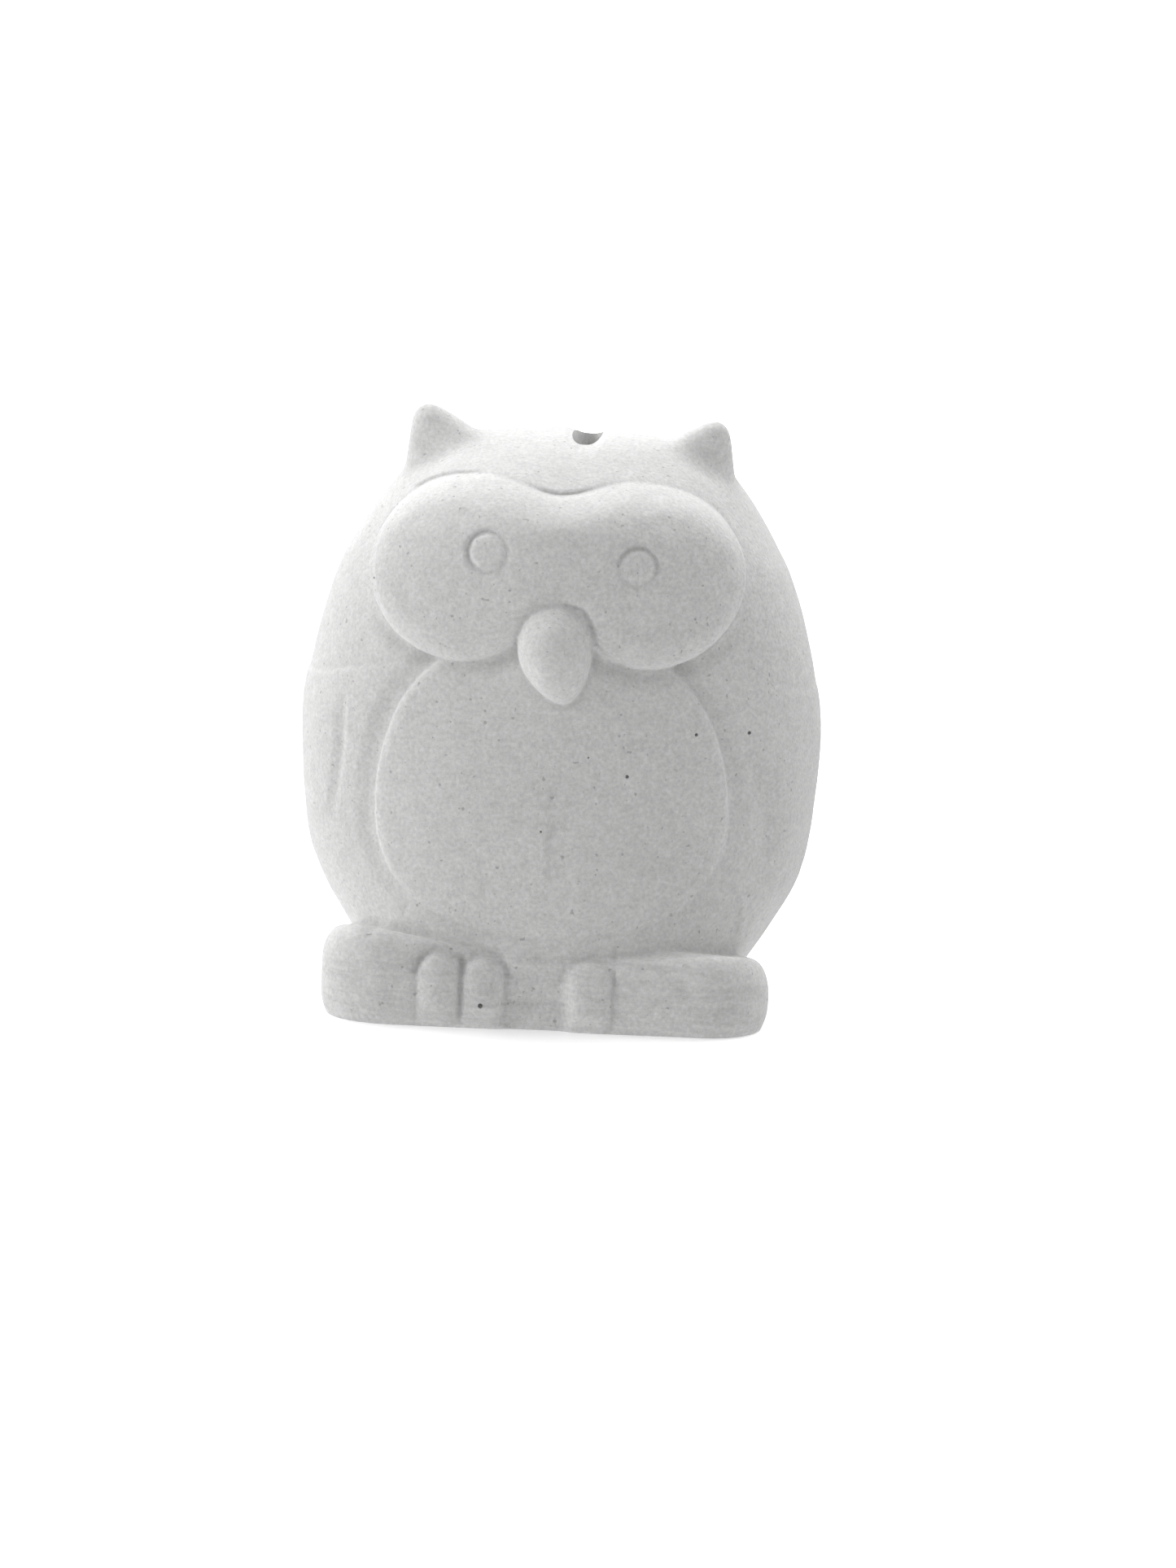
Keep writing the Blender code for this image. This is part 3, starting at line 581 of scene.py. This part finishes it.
def toes(points):
    """Rounded toes on the front of the feet, the grooves beside them, and the plain middle between."""
    x, y, z = points.T
    hollow = ramp(x, TOE_HOLLOW[0], TOE_HOLLOW[0] + 1.6) * (1 - ramp(x, TOE_HOLLOW[1] - 1.6, TOE_HOLLOW[1]))
    forward = -TOE_HOLLOW[2] * hollow * (1 - ramp(z, 12.0, 15.5)) * ramp(z, 0.5, 3.5)
    bulge = np.zeros_like(x)
    for centre, half_width, top, height in TOES:
        across = (x - centre) / half_width
        up = np.where(z > top - half_width, (z - top + half_width) / half_width, 0)
        round_toe = np.sqrt(np.clip(1 - across**2 - up**2, 0, 1))
        bulge = np.maximum(bulge, height * round_toe * ramp(z, 0.3, 4.5))
        over_top = np.hypot(across, up) * half_width - half_width
        forward -= 0.3 * height * bump(over_top - 0.7, 1.4) * (z > top - half_width)
    forward += bulge
    for path, depth, reach in FOOT_GROOVES:
        forward -= depth * groove(x, z, path, reach)
    front = ramp(-y, 36.5, 39.5) * (1 - ramp(z, 17.5, 20.5))
    middle = ramp(x, -9.0, -5.6) * (1 - ramp(x, 2.6, 6.4)) * (z < 16)
    flush = np.clip(-y - MIDDLE_FRONT, 0, None)
    moved = points.copy()
    moved[:, 1] -= forward * front - flush * middle
    return moved


def fine_creases(points):
    """A fine groove round each eye, the mask's outline and the crease beside the beak."""
    x, y, z = points.T
    forward = np.zeros_like(x)
    for (cx, cz, radius), least, lean in zip(EYES, EYE_GROOVE_LEAST, EYE_GROOVE_LEAN):
        away = np.hypot(x - cx, z - cz)
        toward = np.cos(np.arctan2(z - cz, x - cx) - math.radians(lean))
        depth = least + (1 - least) * ramp(toward, -0.6, 0.8)
        forward -= EYE_GROOVE * depth * bump(away - radius - 0.2, 0.85)
        forward += 0.12 * (1 - ramp(away, radius - 1.4, radius))
    path, depth, reach = BEAK_CREASE
    forward -= depth * groove(x, z, path, reach) + mask_crease(x, z)
    moved = points.copy()
    moved[:, 1] -= forward * (y < -20)
    return moved


def round_rod(name, radius, low, high):
    """An upright rod round the axis of the pour hole."""
    bm = bmesh.new()
    loft(bm, [oval_at((0, HOLE_Y, z), radius, radius, 128) for z in (low, high)])
    return object_of(name, bm)


def slot_cutter():
    """A tall block with the coin slot's outline: a long oval, blunt at its ends."""
    outline = []
    for turn in np.linspace(0, 2 * math.pi, 64, endpoint=False):
        across, along = math.cos(turn), math.sin(turn)
        x = math.copysign(abs(across) ** (2 / SLOT_BLUNT), across)
        y = math.copysign(abs(along) ** (2 / SLOT_BLUNT), along)
        outline.append((SLOT_X + SLOT_WIDTH / 2 * x, SLOT_Y + SLOT_LENGTH / 2 * y))
    bm = bmesh.new()
    loft(bm, [[(x, y, z) for x, y in outline] for z in SLOT_CUT])
    return object_of("slot_cutter", bm)


def slot_distance(x, y):
    """Roughly the distance from the slot's outline, in plan."""
    across, along = np.abs(x - SLOT_X) / (SLOT_WIDTH / 2), np.abs(y - SLOT_Y) / (SLOT_LENGTH / 2)
    return ((across**SLOT_BLUNT + along**SLOT_BLUNT) ** (1 / SLOT_BLUNT) - 1) * SLOT_WIDTH / 2


def crown_rise(points):
    """Raises the crown a little towards the back end of the slot."""
    x, y, z = points.T
    moved = points.copy()
    behind = np.hypot((x - SLOT_X) / 1.5, y - CROWN_RISE[1])
    moved[:, 2] += CROWN_RISE[0] * bump(behind, CROWN_RISE[2]) * (z > 90)
    return moved


def slot_lips(points):
    """Rounds the slot's edge, as a sponge leaves it."""
    x, y, z = points.T
    moved = points.copy()
    moved[:, 2] -= SLOT_LIP[0] * (1 - ramp(slot_distance(x, y), 0, SLOT_LIP[1])) * (z > 95)
    return moved


def made_by_hand(points, outward):
    """Slight unevenness of a sponged casting, the fettled mould seam, and its few small marks."""
    x, y, z = points.T
    rng = np.random.default_rng(UNEVEN_SEED)
    uneven = np.zeros_like(x)
    for _ in range(UNEVEN_WAVES):
        direction = rng.normal(size=3)
        length = rng.uniform(7, 34)
        turn = points @ direction * (2 * math.pi / length / np.linalg.norm(direction))
        uneven += np.sin(turn + rng.uniform(0, 2 * math.pi)) * length / 34
    height = UNEVEN * uneven
    beside = ramp(np.abs(x), 16, 26) * (z > 2)
    wander = SEAM_Y + 0.5 * np.sin(z / 9.0)
    height += SEAM * bump(y - wander, 0.9) * beside * (0.6 + 0.4 * np.sin(z / 5.0))
    height -= 0.5 * SEAM * bump(y - wander, 4.0) * beside
    for path, depth, reach in MARKS:
        height -= depth * groove(x, z, path, reach) * (y < -15)
    for cx, cz, depth, reach in DENTS:
        height -= depth * bump(np.hypot(x - cx, z - cz), reach) * (y < -15)
    return points + outward * height[:, None]


def level_cutter():
    """A slab whose top is the plane the owl stands on."""
    bm = bmesh.new()
    bmesh.ops.create_cube(bm, size=1.0)
    bmesh.ops.scale(bm, vec=(140, 140, 20), verts=bm.verts)
    bmesh.ops.translate(bm, vec=(0, 0, -10), verts=bm.verts)
    return object_of("level_cutter", bm)


def pinhole_cutter(points):
    """Small long balls where the surface has pinholes."""
    x, y, z = points.T
    bm = bmesh.new()
    for cx, cz, radius, side in PINHOLES:
        near = np.where(y * side > 5, np.hypot(x - cx, z - cz), 99)
        place = Vector(points[np.argmin(near)])
        ball = bmesh.ops.create_icosphere(bm, subdivisions=2, radius=radius)["verts"]
        bmesh.ops.scale(bm, vec=(1, PINHOLE_STRETCH, 1), verts=ball)
        bmesh.ops.translate(bm, vec=place, verts=ball)
    return object_of("pinhole_cutter", bm)


def cut(obj, cutters):
    """Takes the cutters out of the object and removes them."""
    for cutter in cutters:
        modifier = obj.modifiers.new(cutter.name, "BOOLEAN")
        modifier.operation = "DIFFERENCE"
        modifier.solver = "EXACT"
        modifier.object = cutter
    applied(obj)
    for cutter in cutters:
        bpy.data.objects.remove(cutter, do_unlink=True)


def shape_casting():
    """The finished casting, in the shaping frame."""
    owl = fused("rough", [body_form(), ear_form(-1), ear_form(1), feet_form()], FINE)
    points = coordinates(owl.data)
    x, y, z = points.T
    by_ears = ramp(z, 92, 97) * ramp(np.abs(x), 12, 16) * ramp(-np.abs(y - EAR_Y[1]), -24, -16)
    rounds = int(SMOOTHING**2 * 0.6 / FINE**2)
    points = softened(owl.data, points, 0.25 + 0.6 * by_ears, rounds)
    points = ear_hollows(points)
    set_coordinates(owl.data, points)
    outward = normals(owl.data)
    points = made_by_hand(wings(face_and_belly(points, outward), outward), outward)
    set_coordinates(owl.data, toes(points))
    owl = fused("owl_casting", [owl, beak_form()], FINE)
    points = coordinates(owl.data)
    points = softened(owl.data, points, np.full(len(points), 0.4), 3)
    points = slot_lips(crown_rise(fine_creases(points)))
    set_coordinates(owl.data, points)
    thin = owl.modifiers.new("thin", "DECIMATE")
    thin.ratio = CASTING_TRIANGLES / sum(len(face.vertices) - 2 for face in owl.data.polygons)
    applied(owl)
    cut(
        owl,
        [
            level_cutter(),
            inner_form(),
            slot_cutter(),
            round_rod("hole", HOLE_R, -5, FLOOR + 5),
            round_rod("recess", RECESS_R, -5, RECESS_DEPTH),
            pinhole_cutter(points),
        ],
    )
    owl.data.shade_smooth()
    owl.data.set_sharp_from_angle(angle=SHARP_ANGLE)
    note_shade_and_wear(owl.data)
    return owl


def note_shade_and_wear(mesh):
    """Stores how deep in a crease each point is, how far out on an edge, how much it was brushed and how
    near the table it is, for painted shade in creases and by the table and a painted highlight on edges.
    """
    points = coordinates(mesh)
    outward = normals(mesh)
    smoothed = softened(mesh, points, np.full(len(points), 0.5), 14)
    hollow = np.sum((smoothed - points) * outward, axis=1)
    _, y, z = points.T
    foot = ramp(-y, 30, 36) * (1 - ramp(z, 12, 17))
    # How near the table a point is, which the material turns into painted shadow.
    painted_table_shadow = 1 - ramp(z, 0, 7)
    # crease and low feed painted shade, edge a painted highlight, and brushed the real brush streaks on the
    # feet.
    for name, values in (
        ("crease", np.clip(hollow / CREASE_DEEP, 0, 1)),
        ("edge", np.clip(-hollow / CREASE_DEEP, 0, 1)),
        ("brushed", foot),
        ("low", painted_table_shadow),
    ):
        mesh.attributes.new(name, "FLOAT", "POINT").data.foreach_set("value", values.astype(np.float32))


def stand_where_the_cad_does(owl):
    """Centres the casting over the same point as the CAD shell."""
    low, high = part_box("ceramic_shell")
    points = coordinates(owl.data)
    shift = (low + high) / 2 / MM - (Vector(points.min(axis=0)) + Vector(points.max(axis=0))) / 2
    shift.z = 0
    set_coordinates(owl.data, points + np.array(shift))
    return shift


def linked(tree, kind, settings, **inputs):
    """A node with its settings made and its inputs linked or set.

    An input is named with _ for each space, or as i0, i1 and so on by its place.
    """
    node = tree.nodes.new(kind)
    for name, value in settings.items():
        setattr(node, name, value)
    for name, value in inputs.items():
        socket = node.inputs[int(name[1:])] if name[1:].isdigit() else node.inputs[name.replace("_", " ")]
        if isinstance(value, bpy.types.NodeSocket):
            tree.links.new(value, socket)
        else:
            socket.default_value = value
    return node


def calculated(tree, operation, *values):
    """The result of a math node whose inputs are linked or set."""
    numbers = {f"i{place}": value for place, value in enumerate(values)}
    return linked(tree, "ShaderNodeMath", {"operation": operation}, **numbers).outputs["Value"]


def ranged(tree, value, span, results):
    """A node that takes a value's span smoothly to the results."""
    node = tree.nodes.new("ShaderNodeMapRange")
    node.interpolation_type = "SMOOTHSTEP"
    for name, number in zip(("From Min", "From Max", "To Min", "To Max"), span + results):
        node.inputs[name].default_value = number
    tree.links.new(value, node.inputs["Value"])
    return node.outputs["Result"]


def grain(tree, place, scale, detail=2.0, roughness=0.5):
    """Noise from 0 to 1 whose features are about 1 / scale metres across."""
    node = linked(
        tree, "ShaderNodeTexNoise", {}, Vector=place, Scale=scale, Detail=detail, Roughness=roughness
    )
    return node.outputs["Fac"]


def swing(tree, noise_value, amount):
    """Noise turned into a factor that swings round 1."""
    around = calculated(tree, "SUBTRACT", noise_value, 0.5)
    return calculated(tree, "MULTIPLY_ADD", around, 2 * amount, 1.0)


def noted(tree, name, darker):
    """1 where an attribute is 0, falling by this share where it is 1."""
    note = linked(tree, "ShaderNodeAttribute", {"attribute_name": name})
    return calculated(tree, "MULTIPLY_ADD", note.outputs["Fac"], -darker, 1.0)


def bisque_material():
    """Unglazed white earthenware: chalky, faintly mottled and grained, streaked with brush marks on the
    feet, with painted shade in its creases and near the table and a painted highlight on convex edges.
    """
    material = bpy.data.materials.new("bisque")
    material.use_nodes = True
    tree = material.node_tree
    shader = tree.nodes["Principled BSDF"]
    shader.inputs["Diffuse Roughness"].default_value = 0.7
    shader.inputs["Specular IOR Level"].default_value = 0.15
    place = tree.nodes.new("ShaderNodeTexCoord").outputs["Object"]

    fine = grain(tree, place, GRAIN_SCALE, 3.0, 0.65)
    mottled = grain(tree, place, 380.0, 3.0, 0.6)
    cloudy = grain(tree, place, 55.0, 2.0)
    streak_place = linked(tree, "ShaderNodeMapping", {}, Vector=place, Scale=(70.0, 70.0, 900.0))
    streaks = grain(tree, streak_place.outputs["Vector"], 1.0, 3.0, 0.6)
    brushed = linked(tree, "ShaderNodeAttribute", {"attribute_name": "brushed"}).outputs["Fac"]
    dirt = calculated(tree, "MULTIPLY", ranged(tree, streaks, (0.42, 0.72), (0.0, 0.08)), brushed)
    specks = ranged(tree, grain(tree, place, 950.0, 1.0), (0.70, 0.78), (1.0, 0.72))

    shade = calculated(tree, "MULTIPLY", swing(tree, fine, 0.28), swing(tree, mottled, 0.09))
    for factor in (
        swing(tree, cloudy, 0.03),
        specks,
        # Painted shade: darker in the creases.
        noted(tree, "crease", 0.13),
        # Painted highlight: lighter on convex edges.
        noted(tree, "edge", -0.03),
        # Painted shadow: darker towards the table.
        noted(tree, "low", 0.05),
        calculated(tree, "SUBTRACT", 1.0, dirt),
    ):
        shade = calculated(tree, "MULTIPLY", shade, factor)
    tint = linked(tree, "ShaderNodeVectorMath", {"operation": "SCALE"}, Vector=BISQUE, Scale=shade)
    tree.links.new(tint.outputs["Vector"], shader.inputs["Base Color"])
    tree.links.new(ranged(tree, mottled, (0.3, 0.7), (0.86, 0.98)), shader.inputs["Roughness"])

    peel = linked(tree, "ShaderNodeBump", {}, Height=mottled, Strength=0.2, Distance=0.0005)
    brushing = calculated(tree, "MULTIPLY", streaks, brushed)
    below = peel.outputs["Normal"]
    brush = linked(tree, "ShaderNodeBump", {}, Height=brushing, Strength=0.4, Distance=0.0006, Normal=below)
    below = brush.outputs["Normal"]
    tooth = linked(tree, "ShaderNodeBump", {}, Height=fine, Strength=0.6, Distance=0.00022, Normal=below)
    tree.links.new(tooth.outputs["Normal"], shader.inputs["Normal"])
    return material


def rubber_material():
    """The stopper's soft vinyl: greyish, faintly mottled, with the fine tooth of its mould."""
    material = bpy.data.materials.new("stopper_rubber")
    material.use_nodes = True
    tree = material.node_tree
    shader = tree.nodes["Principled BSDF"]
    shader.inputs["Specular IOR Level"].default_value = 0.4
    shader.inputs["Subsurface Weight"].default_value = 0.1
    shader.inputs["Subsurface Radius"].default_value = (0.002, 0.0018, 0.0015)
    place = tree.nodes.new("ShaderNodeTexCoord").outputs["Object"]
    cloudy = grain(tree, place, 120.0, 3.0)
    tooth_noise = grain(tree, place, 3000.0, 2.0)
    shade = calculated(tree, "MULTIPLY", swing(tree, cloudy, 0.06), swing(tree, tooth_noise, 0.04))
    tint = linked(tree, "ShaderNodeVectorMath", {"operation": "SCALE"}, Vector=RUBBER, Scale=shade)
    tree.links.new(tint.outputs["Vector"], shader.inputs["Base Color"])
    tree.links.new(ranged(tree, cloudy, (0.3, 0.7), (0.5, 0.66)), shader.inputs["Roughness"])
    tooth = linked(tree, "ShaderNodeBump", {}, Height=tooth_noise, Strength=0.3, Distance=0.0001)
    tree.links.new(tooth.outputs["Normal"], shader.inputs["Normal"])
    return material


def add_camera(middle):
    """Looks at the owl from its front, a little from above and from its left, slightly tilted."""
    sideways = Vector((math.cos(CAMERA_AZIMUTH), math.sin(CAMERA_AZIMUTH), 0))
    away = Vector(
        (
            math.sin(CAMERA_AZIMUTH) * math.cos(CAMERA_ELEVATION),
            -math.cos(CAMERA_AZIMUTH) * math.cos(CAMERA_ELEVATION),
            math.sin(CAMERA_ELEVATION),
        )
    )
    upward = away.cross(sideways)
    place = middle + away * CAMERA_DISTANCE
    aim = middle + sideways * LOOK_OFFSET[0] + upward * LOOK_OFFSET[1]
    camera = bpy.data.objects.new("camera", bpy.data.cameras.new("camera"))
    bpy.context.scene.collection.objects.link(camera)
    turn = (aim - place).to_track_quat("-Z", "Y").to_matrix().to_4x4()
    camera.matrix_world = Matrix.Translation(place) @ turn @ Matrix.Rotation(CAMERA_ROLL, 4, "Z")
    camera.data.sensor_fit = "VERTICAL"
    camera.data.sensor_height = SENSOR
    camera.data.lens = SENSOR * CAMERA_DISTANCE / FRAME_HEIGHT_AT_OWL
    bpy.context.scene.camera = camera


def sky(world):
    """Light from a white table and a pale sky, and from soft boxes behind, below and beside the owl."""
    world.use_nodes = True
    tree = world.node_tree
    backdrop = tree.nodes["Background"]
    backdrop.inputs["Color"].default_value = (1.0, 1.0, 1.0, 1.0)
    place = tree.nodes.new("ShaderNodeTexCoord").outputs["Generated"]
    height = linked(tree, "ShaderNodeSeparateXYZ", {}, Vector=place).outputs["Z"]
    total = ranged(tree, height, HORIZON, (TABLE_GLOW, SKY_GLOW))
    for toward, edge, radiance in SOFT_BOXES:
        middle = Vector(toward).normalized()
        facing = linked(tree, "ShaderNodeVectorMath", {"operation": "DOT_PRODUCT"}, i0=place, i1=middle)
        span = (edge - BOX_SOFTNESS, edge + BOX_SOFTNESS)
        box = ranged(tree, facing.outputs["Value"], span, (0.0, radiance))
        total = calculated(tree, "ADD", total, box)
    tree.links.new(total, backdrop.inputs["Strength"])


def stage_piece(name, bm):
    """A floor or backdrop that neither lights nor shades the owl, and returns its shader."""
    mesh = bpy.data.meshes.new(name)
    bm.to_mesh(mesh)
    bm.free()
    piece = bpy.data.objects.new(name, mesh)
    bpy.context.scene.collection.objects.link(piece)
    piece.visible_diffuse = False
    piece.visible_glossy = False
    piece.visible_shadow = False
    material = bpy.data.materials.new(name + "_paper")
    material.use_nodes = True
    piece.data.materials.append(material)
    return material.node_tree.nodes["Principled BSDF"]


def add_studio():
    """The light, a white paper floor and a bright backdrop."""
    bpy.context.scene.view_settings.view_transform = "Standard"
    world = bpy.data.worlds.new("studio")
    bpy.context.scene.world = world
    sky(world)
    bm = bmesh.new()
    bmesh.ops.create_circle(bm, cap_ends=True, segments=96, radius=FLOOR_R)
    paper = stage_piece("floor", bm)
    paper.inputs["Base Color"].default_value = (0.97, 0.97, 0.97, 1.0)
    paper.inputs["Roughness"].default_value = 1.0
    paper.inputs["Specular IOR Level"].default_value = 0.0
    paper.inputs["Emission Color"].default_value = (1.0, 1.0, 1.0, 1.0)
    paper.inputs["Emission Strength"].default_value = FLOOR_GLOW
    bm = bmesh.new()
    bmesh.ops.create_uvsphere(bm, u_segments=48, v_segments=24, radius=BACKDROP_R)
    glow = stage_piece("backdrop", bm)
    glow.inputs["Base Color"].default_value = (0.0, 0.0, 0.0, 1.0)
    glow.inputs["Specular IOR Level"].default_value = 0.0
    glow.inputs["Emission Color"].default_value = (1.0, 1.0, 1.0, 1.0)
    glow.inputs["Emission Strength"].default_value = BACKDROP_GLOW


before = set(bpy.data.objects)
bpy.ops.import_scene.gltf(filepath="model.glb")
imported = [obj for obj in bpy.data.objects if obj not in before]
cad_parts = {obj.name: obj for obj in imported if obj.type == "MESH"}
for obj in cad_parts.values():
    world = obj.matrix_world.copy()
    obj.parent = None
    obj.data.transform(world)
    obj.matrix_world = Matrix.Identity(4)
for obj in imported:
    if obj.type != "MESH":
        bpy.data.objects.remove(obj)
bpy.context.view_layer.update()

owl = shape_casting()
shift = stand_where_the_cad_does(owl)
owl.data.materials.clear()
owl.data.materials.append(bisque_material())
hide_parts("ceramic_shell")
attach(owl, "owl")
for slot in bpy.data.objects["base_stopper"].material_slots:
    slot.material = rubber_material()
add_camera((Vector(LOOK_AT) + shift) * MM)
add_studio()
